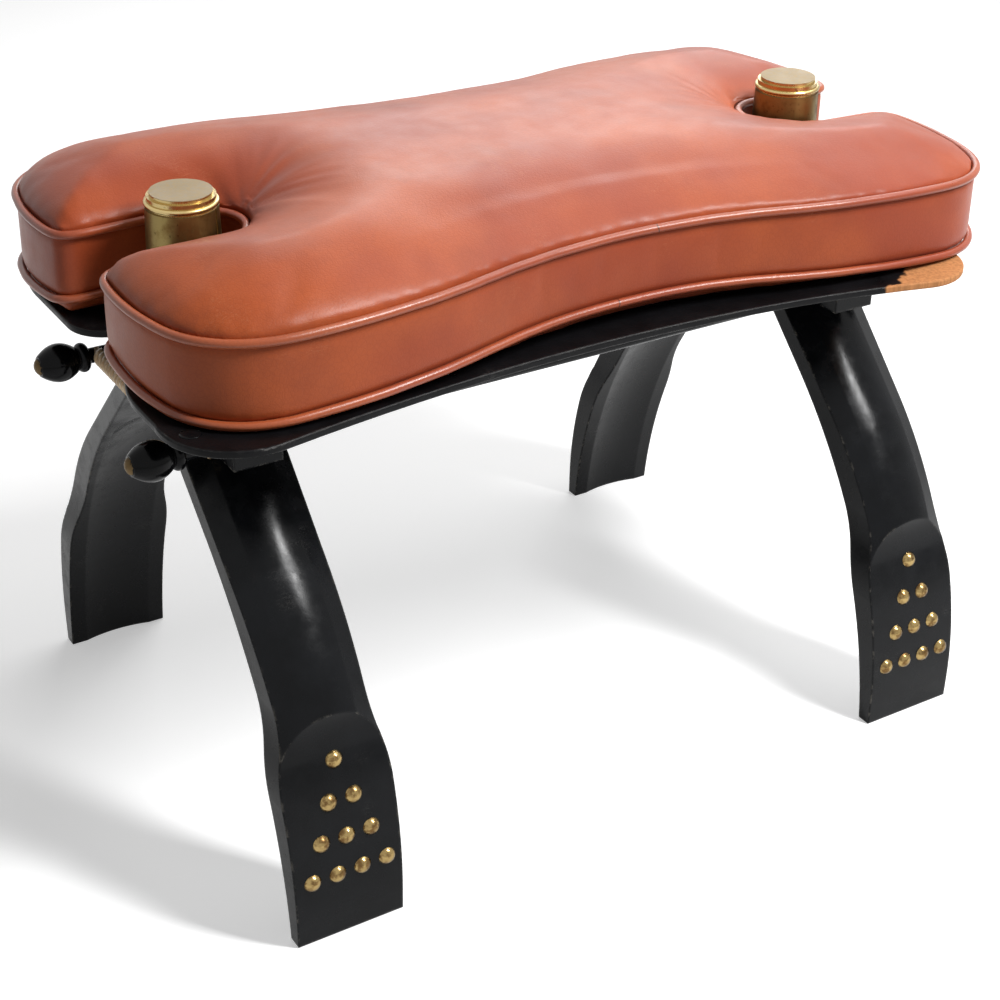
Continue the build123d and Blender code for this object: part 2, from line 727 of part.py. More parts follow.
# Horns, caps and end bars
post = tapered(leg_top_height, horn_top, 0)
post -= upright(dowel_radius + running_gap, leg_top_height, dowel_top + running_gap)
post -= Rot(0, 0, tack_bearing) * make_tack(running_gap)
sleeve = make_sleeve() - Rot(0, 0, tack_bearing) * make_tack(running_gap)
for end_name, end in ends:
    place = Pos(end * horn_x, 0, 0)
    parts[end_name + "_horn_post"] = place * post
    parts[end_name + "_horn_dowel"] = upright(dowel_radius, dowel_bottom, dowel_top, end * horn_x)
    parts[end_name + "_cap_sleeve"] = place * sleeve
    parts[end_name + "_cap_top"] = place * make_cap_top()
    parts[end_name + "_cap_tack"] = place * Rot(0, 0, tack_bearing) * make_tack()
    end_bar = bar if end > 0 else mirror(bar, Plane.YZ)
    parts[end_name + "_cross_bar"] = end_bar
    end_wound = bar_winding if end > 0 else mirror(bar_winding, Plane.YZ)
    parts[end_name + "_bar_winding"] = Pos(end * bar_x, 0, bar_z) * end_wound

for node in ("cushion_core", "cushion_top_panel", "cushion_boxing", "cushion_bottom_panel",
             "top_piping", "bottom_piping"):
    parts[node] = Pos(cushion_shift_x, cushion_shift_y, 0) * parts[node]

for node, shape in parts.items():
    solids = shape.solids()
    if not all(solid.is_valid for solid in solids):
        print(node, "has a solid that isn't valid")
    export(shape, node)
print("nodes", len(parts))
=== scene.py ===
import bpy
import bmesh
import json
import math
from mathutils import Matrix, Vector, kdtree, noise


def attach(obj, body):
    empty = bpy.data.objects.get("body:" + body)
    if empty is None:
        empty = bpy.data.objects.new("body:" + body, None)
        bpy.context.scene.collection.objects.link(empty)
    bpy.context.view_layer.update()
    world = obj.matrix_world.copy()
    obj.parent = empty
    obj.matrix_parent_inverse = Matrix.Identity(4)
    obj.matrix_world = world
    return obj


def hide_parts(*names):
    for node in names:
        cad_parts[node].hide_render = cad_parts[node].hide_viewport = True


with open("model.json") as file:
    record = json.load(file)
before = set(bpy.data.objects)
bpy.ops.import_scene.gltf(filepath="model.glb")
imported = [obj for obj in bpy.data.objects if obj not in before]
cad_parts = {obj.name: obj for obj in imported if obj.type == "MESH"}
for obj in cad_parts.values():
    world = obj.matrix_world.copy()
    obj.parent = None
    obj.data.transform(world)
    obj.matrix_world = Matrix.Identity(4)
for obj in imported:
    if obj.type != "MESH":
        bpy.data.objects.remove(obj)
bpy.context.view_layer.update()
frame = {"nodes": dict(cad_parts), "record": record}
nodes = frame["nodes"]
scene = bpy.context.scene
scene.view_settings.view_transform = "Standard"
print("frame loaded,", len(nodes), "nodes")


# small helpers for meshes
def addMesh(name, bm, material, smooth=True):
    bmesh.ops.recalc_face_normals(bm, faces=bm.faces)
    mesh = bpy.data.meshes.new(name)
    bm.to_mesh(mesh)
    bm.free()
    piece = bpy.data.objects.new(name, mesh)
    scene.collection.objects.link(piece)
    piece.data.materials.append(material)
    if smooth:
        piece.data.shade_smooth()
    return piece


def copyNode(node):
    # the node's own mesh is loose triangles, so the copy is merged
    bm = bmesh.new()
    bm.from_mesh(nodes[node].data)
    bmesh.ops.remove_doubles(bm, verts=bm.verts, dist=0.00002)
    return bm


def smoothStep(low, high, value):
    share = min(max((value - low) / (high - low), 0.0), 1.0)
    return share * share * (3 - 2 * share)


# small helpers for materials
def addNode(tree, kind, label="", **values):
    node = tree.nodes.new(kind)
    node.label = label
    for key, value in values.items():
        setattr(node, key, value)
    return node


def feed(tree, socket, value):
    # a socket gets a link when the value is another socket, and a plain value otherwise
    if isinstance(value, bpy.types.NodeSocket):
        tree.links.new(value, socket)
    else:
        socket.default_value = value


def newGroup(name, inputs, outputs):
    group = bpy.data.node_groups.new(name, "ShaderNodeTree")
    for label, kind, default in inputs:
        socket = group.interface.new_socket(name=label, in_out="INPUT", socket_type="NodeSocket" + kind)
        if default is not None:
            socket.default_value = default
    for label, kind in outputs:
        group.interface.new_socket(name=label, in_out="OUTPUT", socket_type="NodeSocket" + kind)
    return group, addNode(group, "NodeGroupInput"), addNode(group, "NodeGroupOutput")


def useGroup(tree, group, **values):
    node = addNode(tree, "ShaderNodeGroup", group.name)
    node.node_tree = group
    for key, value in values.items():
        feed(tree, node.inputs[key], value)
    return node


def mathNode(tree, operation, first, second=0.0, clamp=False):
    node = addNode(tree, "ShaderNodeMath", operation=operation, use_clamp=clamp)
    feed(tree, node.inputs[0], first)
    feed(tree, node.inputs[1], second)
    return node.outputs[0]


def mixColour(tree, share, first, second, blend="MIX"):
    node = addNode(tree, "ShaderNodeMix", data_type="RGBA", blend_type=blend)
    feed(tree, node.inputs["Factor"], share)
    feed(tree, node.inputs["A"], first)
    feed(tree, node.inputs["B"], second)
    return node.outputs["Result"]


def spread(tree, value, low, high, bottom, top):
    # maps a value from one range to another with a soft start and end
    node = addNode(tree, "ShaderNodeMapRange", interpolation_type="SMOOTHSTEP")
    for key, number in (("Value", value), ("From Min", low), ("From Max", high),
                        ("To Min", bottom), ("To Max", top)):
        feed(tree, node.inputs[key], number)
    return node.outputs["Result"]


def noiseNode(tree, place, scale, detail=3.0, roughness=0.5, distortion=0.0):
    node = addNode(tree, "ShaderNodeTexNoise")
    feed(tree, node.inputs["Vector"], place)
    feed(tree, node.inputs["Scale"], scale)
    feed(tree, node.inputs["Detail"], detail)
    feed(tree, node.inputs["Roughness"], roughness)
    feed(tree, node.inputs["Distortion"], distortion)
    return node.outputs["Fac"]


def stretched(tree, place, scale, turn=(0.0, 0.0, 0.0), move=(0.0, 0.0, 0.0)):
    node = addNode(tree, "ShaderNodeMapping")
    feed(tree, node.inputs["Vector"], place)
    feed(tree, node.inputs["Scale"], scale)
    feed(tree, node.inputs["Rotation"], turn)
    feed(tree, node.inputs["Location"], move)
    return node.outputs["Vector"]


def near(tree, place, point, reach):
    # a mask that is 1 at a point and fades to 0 at some reach
    node = addNode(tree, "ShaderNodeVectorMath", operation="DISTANCE")
    feed(tree, node.inputs[0], place)
    feed(tree, node.inputs[1], point)
    return spread(tree, node.outputs["Value"], 0.0, reach, 1.0, 0.0)


# hide: pebbled pores and the fine creases between them
def makeHide():
    group, start, end = newGroup(
        "hideGrain",
        [("Place", "Vector", None), ("Pores", "Float", 1100.0), ("Creases", "Float", 300.0)],
        [("Height", "Float"), ("Crease", "Float")])
    place = start.outputs["Place"]
    bent = addNode(group, "ShaderNodeVectorMath", operation="MULTIPLY_ADD")
    soft = addNode(group, "ShaderNodeTexNoise")
    feed(group, soft.inputs["Vector"], place)
    feed(group, soft.inputs["Scale"], 220.0)
    feed(group, bent.inputs[0], soft.outputs["Color"])
    feed(group, bent.inputs[1], (0.0016, 0.0016, 0.0016))
    feed(group, bent.inputs[2], place)
    pores = addNode(group, "ShaderNodeTexVoronoi", feature="SMOOTH_F1")
    feed(group, pores.inputs["Vector"], bent.outputs[0])
    feed(group, pores.inputs["Scale"], start.outputs["Pores"])
    feed(group, pores.inputs["Smoothness"], 0.6)
    lines = addNode(group, "ShaderNodeTexVoronoi", feature="DISTANCE_TO_EDGE")
    feed(group, lines.inputs["Vector"], bent.outputs[0])
    feed(group, lines.inputs["Scale"], start.outputs["Creases"])
    crease = spread(group, lines.outputs["Distance"], 0.0, 0.14, 1.0, 0.0)
    broad = noiseNode(group, place, 45.0, 4.0)
    height = mathNode(group, "SUBTRACT", mathNode(group, "MULTIPLY", pores.outputs["Distance"], -0.7),
                      mathNode(group, "MULTIPLY", crease, 0.25))
    height = mathNode(group, "ADD", height, mathNode(group, "MULTIPLY", broad, 0.8))
    feed(group, end.inputs["Height"], height)
    feed(group, end.inputs["Crease"], crease)
    return group


# edges: a mask that is bright where two faces meet, broken up so that wear is patchy
def makeEdges():
    group, start, end = newGroup(
        "edgeWear",
        [("Place", "Vector", None), ("Radius", "Float", 0.0015), ("Patches", "Float", 60.0),
         ("Amount", "Float", 0.5)],
        [("Mask", "Float")])
    bevel = addNode(group, "ShaderNodeBevel", samples=6)
    feed(group, bevel.inputs["Radius"], start.outputs["Radius"])
    face = addNode(group, "ShaderNodeNewGeometry")
    dot = addNode(group, "ShaderNodeVectorMath", operation="DOT_PRODUCT")
    feed(group, dot.inputs[0], bevel.outputs["Normal"])
    feed(group, dot.inputs[1], face.outputs["Normal"])
    edge = spread(group, dot.outputs["Value"], 0.995, 0.93, 0.0, 1.0)
    patch = noiseNode(group, start.outputs["Place"], start.outputs["Patches"], 5.0, 0.65)
    limit = mathNode(group, "SUBTRACT", 0.85, mathNode(group, "MULTIPLY", start.outputs["Amount"], 0.5))
    broken = spread(group, patch, mathNode(group, "SUBTRACT", limit, 0.08),
                    mathNode(group, "ADD", limit, 0.08), 0.0, 1.0)
    feed(group, end.inputs["Mask"], mathNode(group, "MULTIPLY", edge, broken))
    return group


# scuffs: thin broken lines in two directions
def makeScuffs():
    group, start, end = newGroup(
        "scuffs",
        [("Place", "Vector", None), ("Fine", "Float", 90.0), ("Amount", "Float", 0.3)],
        [("Mask", "Float")])
    marks = []
    for turn, stretch in (((0.3, 0.2, 0.7), (1.0, 14.0, 9.0)), ((0.9, 0.4, -0.5), (12.0, 1.0, 16.0))):
        place = stretched(group, start.outputs["Place"], stretch, turn)
        lines = noiseNode(group, place, start.outputs["Fine"], 2.0, 0.5, 0.4)
        marks.append(spread(group, mathNode(group, "ABSOLUTE", mathNode(group, "SUBTRACT", lines, 0.5)),
                            0.0, 0.012, 1.0, 0.0))
    patch = noiseNode(group, start.outputs["Place"], 22.0, 3.0)
    limit = mathNode(group, "SUBTRACT", 0.8, mathNode(group, "MULTIPLY", start.outputs["Amount"], 0.6))
    chosen = spread(group, patch, limit, mathNode(group, "ADD", limit, 0.12), 0.0, 1.0)
    both = mathNode(group, "MAXIMUM", marks[0], marks[1])
    feed(group, end.inputs["Mask"], mathNode(group, "MULTIPLY", both, chosen))
    return group


# fibres: long streaks along Z of whatever place is given
def makeFibres():
    group, start, end = newGroup(
        "woodFibres",
        [("Place", "Vector", None), ("Fine", "Float", 260.0), ("Length", "Float", 14.0)],
        [("Height", "Float"), ("Streak", "Float")])
    squeeze = addNode(group, "ShaderNodeCombineXYZ")
    feed(group, squeeze.inputs["X"], start.outputs["Fine"])
    feed(group, squeeze.inputs["Y"], start.outputs["Fine"])
    feed(group, squeeze.inputs["Z"], start.outputs["Length"])
    place = addNode(group, "ShaderNodeVectorMath", operation="MULTIPLY")
    feed(group, place.inputs[0], start.outputs["Place"])
    feed(group, place.inputs[1], squeeze.outputs[0])
    streak = noiseNode(group, place.outputs[0], 1.0, 4.0, 0.6, 0.3)
    broad = noiseNode(group, start.outputs["Place"], 18.0, 2.0)
    height = mathNode(group, "ADD", streak, mathNode(group, "MULTIPLY", broad, 0.5))
    feed(group, end.inputs["Height"], height)
    feed(group, end.inputs["Streak"], spread(group, streak, 0.35, 0.7, 0.0, 1.0))
    return group


# a thin cut across a cord: a flat slice at a point, kept to the cord by a short reach
def makeJoin():
    group, start, end = newGroup(
        "joinLine",
        [("Place", "Vector", None), ("Point", "Vector", None), ("Way", "Vector", None),
         ("Reach", "Float", 0.012)],
        [("Mask", "Float")])
    offset = addNode(group, "ShaderNodeVectorMath", operation="SUBTRACT")
    feed(group, offset.inputs[0], start.outputs["Place"])
    feed(group, offset.inputs[1], start.outputs["Point"])
    along = addNode(group, "ShaderNodeVectorMath", operation="DOT_PRODUCT")
    feed(group, along.inputs[0], offset.outputs[0])
    feed(group, along.inputs[1], start.outputs["Way"])
    line = spread(group, mathNode(group, "ABSOLUTE", along.outputs["Value"]), 0.0002, 0.0007, 1.0, 0.0)
    kept = near(group, start.outputs["Place"], start.outputs["Point"], start.outputs["Reach"])
    fade = spread(group, kept, 0.05, 0.2, 0.0, 1.0)
    feed(group, end.inputs["Mask"], mathNode(group, "MULTIPLY", line, fade))
    return group


hideGrain = makeHide()
joinLine = makeJoin()
edgeWear = makeEdges()
scuffs = makeScuffs()
woodFibres = makeFibres()


def startMaterial(name):
    material = bpy.data.materials.new(name)
    material.use_nodes = True
    tree = material.node_tree
    tree.nodes.clear()
    shader = addNode(tree, "ShaderNodeBsdfPrincipled")
    output = addNode(tree, "ShaderNodeOutputMaterial")
    tree.links.new(shader.outputs[0], output.inputs["Surface"])
    place = addNode(tree, "ShaderNodeTexCoord").outputs["Object"]
    return material, tree, shader, place


def addBump(tree, shader, height, strength, distance, softEdge=0.0):
    # a soft edge rounds the corners of hard pieces before the bump is laid on them
    bump = addNode(tree, "ShaderNodeBump")
    feed(tree, bump.inputs["Strength"], strength)
    feed(tree, bump.inputs["Distance"], distance)
    feed(tree, bump.inputs["Height"], height)
    if softEdge:
        bevel = addNode(tree, "ShaderNodeBevel", samples=6)
        bevel.inputs["Radius"].default_value = softEdge
        feed(tree, bump.inputs["Normal"], bevel.outputs[0])
    feed(tree, shader.inputs["Normal"], bump.outputs[0])


# tan hide for the cushion's panels and its piping
leather = {
    "seat": dict(red=(0.29, 0.049, 0.017, 1), orange=(0.40, 0.082, 0.022, 1), dark=(0.16, 0.028, 0.012, 1),
                 rub=(0.50, 0.21, 0.11, 1), gloss=0.36, shine=0.22, depth=0.12),
    "piping": dict(red=(0.30, 0.052, 0.018, 1), orange=(0.40, 0.090, 0.028, 1),
                   dark=(0.13, 0.022, 0.010, 1), rub=(0.55, 0.25, 0.14, 1),
                   gloss=0.30, shine=0.45, depth=0.10),
}


# where the strips of the piping meet: a place, the way along the piping and the slant of the cut
pipingJoins = [
    ((0.0208, -0.1375, 0.392), (0.95, -0.2, 0.25)),
    ((-0.0073, -0.1385, 0.348), (0.97, 0.1, -0.22)),
    ((0.060, 0.1375, 0.392), (0.95, 0.2, 0.25)),
    ((-0.180, 0.156, 0.343), (0.95, 0.25, -0.2)),
]


def leatherMaterial(name, look, joins=()):
    material, tree, shader, place = startMaterial(name)
    grain = useGroup(tree, hideGrain, Place=place)
    broad = noiseNode(tree, place, 7.0, 3.0, 0.55)
    warm = mixColour(tree, spread(tree, broad, 0.35, 0.65, 0.0, 1.0), look["red"], look["orange"])
    cloud = noiseNode(tree, stretched(tree, place, (1.0, 1.0, 1.0), move=(3.1, 1.7, 0.4)), 13.0, 4.0, 0.6)
    shade = mixColour(tree, spread(tree, cloud, 0.45, 0.75, 0.0, 0.35), warm, look["dark"])
    # painted shade: the grain's fine creases are darkened towards the dark colour
    crease = mathNode(tree, "MULTIPLY", grain.outputs["Crease"], 0.12)
    creaseShaded = mixColour(tree, crease, shade, look["dark"])
    marks = useGroup(tree, scuffs, Place=place, Fine=34.0, Amount=0.42)
    colour = mixColour(tree, mathNode(tree, "MULTIPLY", marks.outputs["Mask"], 0.28), creaseShaded, look["rub"])
    height = grain.outputs["Height"]
    for point, way in joins:
        cut = useGroup(tree, joinLine, Place=place, Point=point, Way=way)
        dirt = mathNode(tree, "MULTIPLY", cut.outputs["Mask"], 0.8)
        colour = mixColour(tree, dirt, colour, (0.03, 0.008, 0.004, 1))
        height = mathNode(tree, "SUBTRACT", height, mathNode(tree, "MULTIPLY", cut.outputs["Mask"], 2.0))
    feed(tree, shader.inputs["Base Color"], colour)
    shine = noiseNode(tree, place, 60.0, 4.0, 0.6)
    rough = spread(tree, shine, 0.2, 0.8, look["gloss"] - 0.03, look["gloss"] + 0.06)
    feed(tree, shader.inputs["Roughness"],
         mathNode(tree, "ADD", rough, mathNode(tree, "MULTIPLY", marks.outputs["Mask"], 0.12)))
    shader.inputs["Specular IOR Level"].default_value = look["shine"]
    shader.inputs["Sheen Weight"].default_value = 0.03
    shader.inputs["Sheen Roughness"].default_value = 0.5
    addBump(tree, shader, height, look["depth"], 0.0006)
    return material


# black painted wood: legs and blocks, boards, and the turned pieces, from dull to glossy
blackWood = {
    "leg": dict(base=(0.0028, 0.0031, 0.0037, 1), bare=(0.10, 0.07, 0.05, 1), gloss=0.20, shine=0.13,
                wear=0.55, depth=0.06, soft=0.0022, chips=70.0, edge=(0.20, 0.185, 0.16, 1)),
    "board": dict(base=(0.0026, 0.0026, 0.003, 1), bare=(0.52, 0.23, 0.09, 1), gloss=0.32, shine=0.12,
                  wear=0.7, depth=0.3, soft=0.0012, chips=70.0, edge=(0.26, 0.25, 0.23, 1)),
    "turned": dict(base=(0.0026, 0.0026, 0.003, 1), bare=(0.30, 0.20, 0.09, 1), gloss=0.13, shine=0.10,
                   wear=0.5, depth=0.1, soft=0.0008, chips=330.0, edge=(0.09, 0.06, 0.04, 1)),
}


def blackWoodMaterial(name, look, bareSpots=()):
    material, tree, shader, place = startMaterial(name)
    fibres = useGroup(tree, woodFibres, Place=place, Fine=420.0, Length=26.0)
    worn = useGroup(tree, edgeWear, Place=place, Radius=1.1 * look["soft"], Patches=130.0,
                    Amount=look["wear"])
    marks = useGroup(tree, scuffs, Place=place, Fine=60.0, Amount=0.3)
    tone = noiseNode(tree, place, 30.0, 4.0, 0.6)
    base = mixColour(tree, spread(tree, tone, 0.3, 0.7, 0.0, 1.0), look["base"],
                     tuple(1.9 * part for part in look["base"][:3]) + (1,))
    spots = 0.0
    for point, reach in bareSpots:
        spot = near(tree, place, point, reach)
        chips = noiseNode(tree, place, look["chips"], 4.0, 0.6)
        broken = spread(tree, mathNode(tree, "MULTIPLY", spot, chips), 0.14, 0.20, 0.0, 1.0)
        spots = mathNode(tree, "MAXIMUM", spots, broken)
    bare = mixColour(tree, fibres.outputs["Streak"], look["bare"],
                     tuple(0.7 * part for part in look["bare"][:3]) + (1,))
    colour = mixColour(tree, mathNode(tree, "MULTIPLY", worn.outputs["Mask"], 0.6), base, look["edge"])
    colour = mixColour(tree, mathNode(tree, "MULTIPLY", spots, 0.95), colour, bare)
    mask = mathNode(tree, "MAXIMUM", worn.outputs["Mask"], spots)
    scratch = mathNode(tree, "MULTIPLY", marks.outputs["Mask"], 0.28)
    colour = mixColour(tree, scratch, colour, (0.22, 0.21, 0.2, 1))
    feed(tree, shader.inputs["Base Color"], colour)
    shine = noiseNode(tree, place, 75.0, 4.0, 0.6)
    rough = spread(tree, shine, 0.25, 0.8, look["gloss"] - 0.05, look["gloss"] + 0.14)
    rough = mathNode(tree, "ADD", rough, mathNode(tree, "MULTIPLY", mask, 0.3))
    feed(tree, shader.inputs["Roughness"],
         mathNode(tree, "ADD", rough, mathNode(tree, "MULTIPLY", marks.outputs["Mask"], 0.15)))
    shader.inputs["Specular IOR Level"].default_value = look["shine"]
    height = mathNode(tree, "SUBTRACT", fibres.outputs["Height"], mathNode(tree, "MULTIPLY", mask, 0.6))
    addBump(tree, shader, height, look["depth"], 0.0005, look["soft"])
    return material


# brass: polished cap tops, patinated sleeves and domed studs
brass = {
    "cap": dict(bright=(0.58, 0.44, 0.20, 1), brown=(0.36, 0.24, 0.08, 1), dark=(0.10, 0.06, 0.03, 1),
                gloss=0.16, patina=0.3, clouds=55.0, rim=0.2,
                disc=(0.30, 0.245, 0.165, 1), discHeight=0.4180),
    "sleeve": dict(bright=(0.27, 0.20, 0.075, 1), brown=(0.15, 0.085, 0.025, 1),
                   dark=(0.05, 0.03, 0.012, 1), gloss=0.30, patina=0.5, clouds=55.0, rim=0.4),
    "stud": dict(bright=(0.38, 0.27, 0.11, 1), brown=(0.14, 0.08, 0.03, 1), dark=(0.035, 0.02, 0.01, 1),
                 gloss=0.12, patina=0.7, clouds=210.0, rim=0.9),
}


def brassMaterial(name, look):
    material, tree, shader, place = startMaterial(name)
    cloud = noiseNode(tree, place, look["clouds"], 5.0, 0.6)
    spots = noiseNode(tree, place, 330.0, 4.0, 0.65)
    fibres = useGroup(tree, woodFibres, Place=place, Fine=900.0, Length=60.0)
    patina = spread(tree, cloud, 0.62 - 0.3 * look["patina"], 0.85 - 0.3 * look["patina"], 0.0, 1.0)
    tone = mixColour(tree, patina, look["bright"], look["brown"])
    colour = mixColour(tree, spread(tree, spots, 0.6, 0.74, 0.0, 0.7), tone, look["dark"])
    rough = spread(tree, cloud, 0.3, 0.75, look["gloss"], look["gloss"] + 0.18)
    rough = mathNode(tree, "ADD", rough, mathNode(tree, "MULTIPLY", fibres.outputs["Streak"], 0.05))
    if "disc" in look:
        # the flat top of the cap is rubbed dull
        parts = addNode(tree, "ShaderNodeSeparateXYZ")
        feed(tree, parts.inputs[0], place)
        dull = spread(tree, parts.outputs["Z"], look["discHeight"], look["discHeight"] + 0.0003, 0.0, 1.0)
        pale = mixColour(tree, spread(tree, spots, 0.35, 0.65, 0.0, 0.5), look["disc"], look["brown"])
        colour = mixColour(tree, dull, colour, pale)
        rough = mathNode(tree, "ADD", rough, mathNode(tree, "MULTIPLY", dull, 0.34))
        lost = mathNode(tree, "MULTIPLY", dull, 0.6)
        feed(tree, shader.inputs["Metallic"], mathNode(tree, "SUBTRACT", 1.0, lost))
    else:
        shader.inputs["Metallic"].default_value = 1.0
    # painted shade: the colour darkens towards the dark colour where a dome turns away from view, standing
    # in for a darker reflection
    rim = addNode(tree, "ShaderNodeLayerWeight")
    rim.inputs["Blend"].default_value = 0.35
    turned = spread(tree, rim.outputs["Facing"], 0.2, 0.7, 0.0, look["rim"])
    feed(tree, shader.inputs["Base Color"], mixColour(tree, turned, colour, look["dark"]))
    feed(tree, shader.inputs["Roughness"], rough)
    lines = mathNode(tree, "MULTIPLY", fibres.outputs["Height"], 0.4)
    addBump(tree, shader, mathNode(tree, "ADD", spots, lines), 0.12, 0.0003)
    return material


# cane, bare wood and screws
paleWood = {
    "cane": dict(light=(0.90, 0.68, 0.42, 1), dark=(0.62, 0.38, 0.18, 1), gloss=0.36, fine=900.0),
    "pale": dict(light=(0.50, 0.33, 0.18, 1), dark=(0.30, 0.18, 0.09, 1), gloss=0.6, fine=500.0),
    "bare": dict(light=(0.36, 0.22, 0.12, 1), dark=(0.20, 0.11, 0.06, 1), gloss=0.65, fine=420.0),
    "screw": dict(light=(0.42, 0.41, 0.40, 1), dark=(0.20, 0.19, 0.18, 1), gloss=0.35, fine=800.0),
}


def paleMaterial(name, look, turn=(0.0, 0.0, 0.0), metallic=0.0):
    material, tree, shader, place = startMaterial(name)
    laid = stretched(tree, place, (1.0, 1.0, 1.0), turn)
    fibres = useGroup(tree, woodFibres, Place=laid, Fine=look["fine"], Length=40.0)
    cloud = noiseNode(tree, place, 120.0, 4.0, 0.6)
    tone = mixColour(tree, fibres.outputs["Streak"], look["light"], look["dark"])
    colour = mixColour(tree, spread(tree, cloud, 0.5, 0.75, 0.0, 0.6), tone, look["dark"])
    feed(tree, shader.inputs["Base Color"], colour)
    shader.inputs["Metallic"].default_value = metallic
    rough = spread(tree, cloud, 0.3, 0.8, look["gloss"] - 0.08, look["gloss"] + 0.12)
    feed(tree, shader.inputs["Roughness"], rough)
    addBump(tree, shader, fibres.outputs["Height"], 0.4, 0.0004)
    return material


seatLeather = leatherMaterial("seatLeather", leather["seat"])
pipingLeather = leatherMaterial("pipingLeather", leather["piping"], pipingJoins)
legPaint = blackWoodMaterial("legPaint", blackWood["leg"])
boardPaint = blackWoodMaterial("boardPaint", blackWood["board"], [
    ((0.182, -0.186, 0.337), 0.020), ((0.200, -0.186, 0.337), 0.030), ((0.222, -0.178, 0.337), 0.038),
    ((0.243, -0.158, 0.337), 0.036)])
turnedPaint = blackWoodMaterial("turnedPaint", blackWood["turned"],
                                [((side * 0.3035, away * 0.075, 0.2886), 0.0095)
                                 for side in (-1, 1) for away in (-1, 1)])
capBrass = brassMaterial("capBrass", brass["cap"])
sleeveBrass = brassMaterial("sleeveBrass", brass["sleeve"])
studBrass = brassMaterial("studBrass", brass["stud"])
caneStrip = paleMaterial("caneStrip", paleWood["cane"])
barWood = paleMaterial("barWood", paleWood["pale"], (math.pi / 2, 0.0, 0.0))
postWood = paleMaterial("postWood", paleWood["bare"])
screwMetal = paleMaterial("screwMetal", paleWood["screw"], metallic=1.0)
print("materials made")

finishes = {
    "black_wood": legPaint, "board_black_wood": boardPaint, "gloss_black_wood": turnedPaint,
    "cap_brass": capBrass, "sleeve_brass": sleeveBrass, "stud_brass": studBrass, "cane": caneStrip,
    "pale_wood": barWood, "bare_wood": postWood, "screw_steel": screwMetal,
    "seat_leather": seatLeather, "piping_leather": pipingLeather, "filling": seatLeather,
}
slots = {part["node"]: part["material_slot"] for part in frame["record"]["subparts"]}
for name, node in nodes.items():
    for index in range(len(node.material_slots)):
        node.material_slots[index].material = finishes[slots[name]]
    if not node.material_slots:
        node.data.materials.append(finishes[slots[name]])


# the cushion: copied from its filling, remeshed, pumped up as cloth, then shaped
cushionShape = {
    "voxel": 0.005, "pressure": 5.0, "frames": 20, "mostMove": 0.0055,
    "rest": 0.3373, "seamBottom": 0.3455, "seamTop": 0.392,
    "rise": 0.0265, "reach": 0.09, "curve": 1.72, "fill": 0.3,
    "pinch": 0.0016, "pinchWidth": 0.0034,
    "pipeRadius": 0.0027, "pipeOut": 0.0017,
    "shiftX": 0.0015, "shiftY": -0.0015, "leftReach": 0.005,
    "notchTip": 0.1915, "foldReach": 0.085, "foldDepth": 0.0014,
    # seam lines: height in the middle, fall towards the sides, fall towards the ends
    "topLevel": 0.3955, "topFall": 0.017, "topEndFall": 0.0045,
    "bottomLevel": 0.3620, "bottomFall": 0.087, "bottomEndFall": 0.0099, "halfLength": 0.2875,
    "quality": 5, "stretch": 25, "shear": 12, "bend": 2,
    "pipeStep": 0.003, "pipeRounds": 6,
}


def seamHeight(seam, x, y):
    shape = cushionShape
    x, y = x - shape["shiftX"], y - shape["shiftY"]
    return (shape[seam + "Level"] - shape[seam + "Fall"] * abs(y)
            - shape[seam + "EndFall"] * (x / shape["halfLength"]) ** 2)


def topSeam(x, y):
    return seamHeight("top", x, y)


def bottomSeam(x, y):
    return seamHeight("bottom", x, y)


def crownRise(x, inward):
    # steep beside the piping and level in the middle, fuller towards the left end
    shape = cushionShape
    right = x / 0.29
    curve = shape["curve"] - 0.25 * right
    share = max(1 - inward / shape["reach"], 0.0)
    return (shape["rise"] - 0.0035 * right) * (1 - share ** curve) ** (1 / curve)


def settle(point, inward=0.0, lift=0.0):
    # takes the level seams of the filling to the sagging lines that they follow, and the crown to its curve
    shape = cushionShape
    upper, lower = topSeam(point.x, point.y), bottomSeam(point.x, point.y)
    z = point.z
    if z <= shape["seamBottom"]:
        share = (z - shape["rest"]) / (shape["seamBottom"] - shape["rest"])
        z = shape["rest"] + share * (lower - shape["rest"])
    elif z - lift <= shape["seamTop"]:
        share = (z - shape["seamBottom"]) / (shape["seamTop"] - shape["seamBottom"])
        z = lower + share * (upper - lower)
    else:
        z = upper + crownRise(point.x, inward) + shape["fill"] * lift
    out = shape["leftReach"] * smoothStep(0.20, 0.28, -point.x)
    return Vector((point.x - out, point.y, z))


def inwardReach(mesh, line):
    # how far in from the piping each point lies, seen from above
    tree = kdtree.KDTree(len(line))
    for index, point in enumerate(line):
        tree.insert((point.x, point.y, 0), index)
    tree.balance()
    return [tree.find((vertex.co.x, vertex.co.y, 0))[2] for vertex in mesh.vertices]


